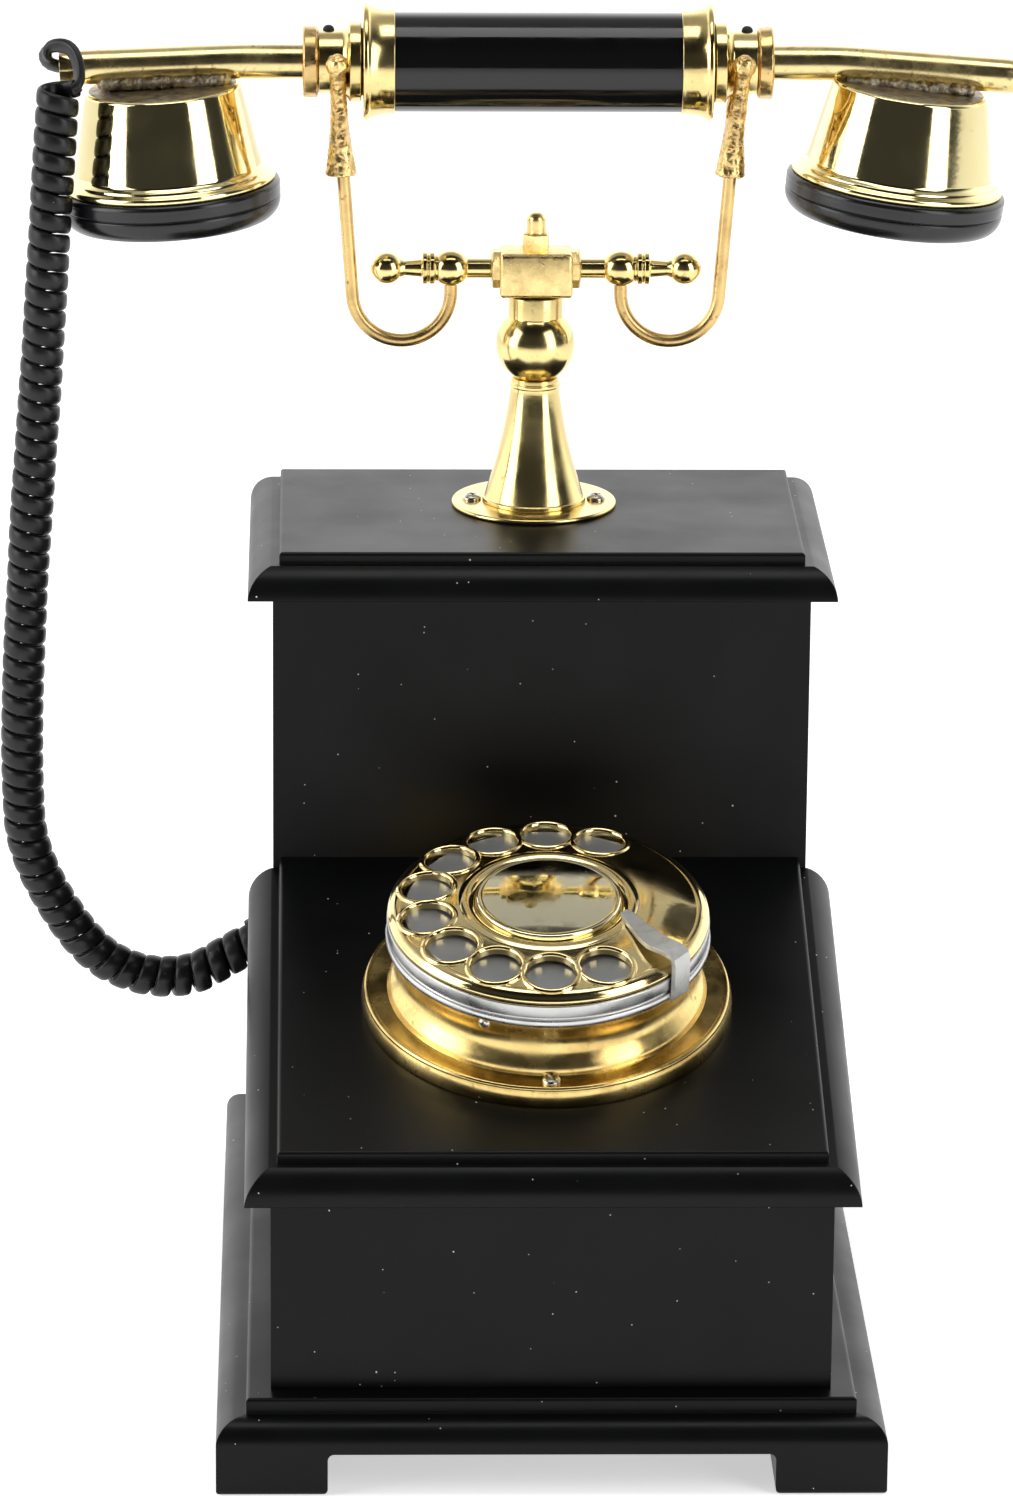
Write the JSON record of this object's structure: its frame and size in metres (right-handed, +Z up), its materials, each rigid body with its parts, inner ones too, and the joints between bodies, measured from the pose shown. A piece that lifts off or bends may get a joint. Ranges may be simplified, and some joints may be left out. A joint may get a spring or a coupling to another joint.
{
  "type": "cradle telephone",
  "caption": "French-style cradle telephone: black stepped wooden cabinet, brass pillar cradle and handset, tilted rotary dial, curly cord.",
  "frame": {"origin": "middle of the plinth, on the table", "axes": "+Z up, +X to the user's right, +Y to the back"},
  "size_m": [0.249, 0.2296, 0.3153],
  "materials": {
    "black_paint": "satin black paint on board",
    "brass": "polished",
    "cast_brass": "rough cast",
    "mirror_disc": "polished, scratched",
    "bright_aluminium": "satin",
    "grey_metal": "matte grey",
    "nickel": "nickel plated",
    "black_gloss": "gloss",
    "black_rubber": "matte",
    "cord": "satin",
    "works_steel": "satin",
    "gong_metal": "satin",
    "board_plastic": "matte"
  },
  "bodies": {
    "base": {"back_panel": "black_paint", "base_screws": "nickel", "bell_coils": "works_steel", "bell_frame": "works_steel", "cap_board": "black_paint", "contact_springs": "works_steel", "cord_bush": "black_rubber", "cord_lead": "cord", "curly_cord": "cord", "deck_board": "black_paint", "dial_band": "bright_aluminium", "dial_base_plate": "works_steel", "dial_mount": "brass", "finger_stop": "grey_metal", "front_panel": "black_paint", "gong_left": "gong_metal", "gong_right": "gong_metal", "hook_bracket": "works_steel", "induction_coil": "works_steel", "line_inlet": "brass", "main_spring": "works_steel", "number_plate": "grey_metal", "pillar_ball": "brass", "pillar_cone": "brass", "pillar_flange": "brass", "plinth": "black_paint", "plunger_spring": "works_steel", "side_panel_left": "black_paint", "side_panel_right": "black_paint", "terminal_board": "board_plastic", "tower_front": "black_paint"},
    "dial_wheel": {"finger_wheel": "brass", "centre_disc": "mirror_disc", "dial_spindle": "brass"},
    "governor_spindle": {"governor": "brass"},
    "cradle": {"cradle_block": "brass", "plunger_rod": "brass", "cross_arm_left": "brass", "cross_arm_right": "brass", "hook_left": "brass", "hook_right": "brass", "fork_left": "cast_brass", "fork_right": "cast_brass"},
    "handset": {"handle": "black_gloss", "neck_screws": "black_gloss", "cord_anchor": "black_rubber", "ferrule_left": "brass", "ferrule_right": "brass", "neck_left": "brass", "neck_right": "brass", "arm_left": "brass", "arm_right": "brass", "cup_left": "brass", "cup_right": "brass", "cap_left": "black_gloss", "cap_right": "black_gloss", "capsule_left": "works_steel", "capsule_right": "works_steel"},
    "switch_lever": {"hook_lever": "works_steel"},
    "bell_clapper": {"clapper": "works_steel"}
  },
  "joints": [
    {"name": "handset_lift", "type": "slide", "parent": "base", "child": "handset", "axis": [0, 0, 1], "range_m": [0, 0.08], "deforming": ["curly_cord", "cord_lead"]},
    {"name": "cradle_rise", "type": "slide", "parent": "base", "child": "cradle", "axis": [0, 0, 1], "range_m": [0, 0.004], "deforming": ["plunger_spring"]},
    {"name": "hook_lever_turn", "type": "hinge", "parent": "base", "child": "switch_lever", "pos_m": [0, 0.0398, 0.1366], "axis": [1, 0, 0], "range_deg": [0, 9.2]},
    {"name": "dial_turn", "type": "hinge", "parent": "base", "child": "dial_wheel", "pos_m": [0, -0.04229, 0.09596], "axis": [0, -0.2561, 0.9666], "range_deg": [-315, 0], "stiffness_Nm_per_rad": 0.004},
    {"name": "governor_turn", "type": "hinge", "parent": "base", "child": "governor_spindle", "pos_m": [0, -0.02296, 0.10108], "axis": [0, -0.2561, 0.9666], "range_deg": [0, 1275]},
    {"name": "clapper_swing", "type": "hinge", "parent": "base", "child": "bell_clapper", "pos_m": [0, -0.002, 0.068], "axis": [0, 1, 0], "range_deg": [-4, 4]}
  ],
  "couplings": [
    {"joint": "cradle_rise", "follows": "handset_lift", "ratio": 0.05},
    {"joint": "hook_lever_turn", "follows": "handset_lift", "rad_per_m": 2},
    {"joint": "governor_turn", "follows": "dial_turn", "ratio": -4}
  ]
}
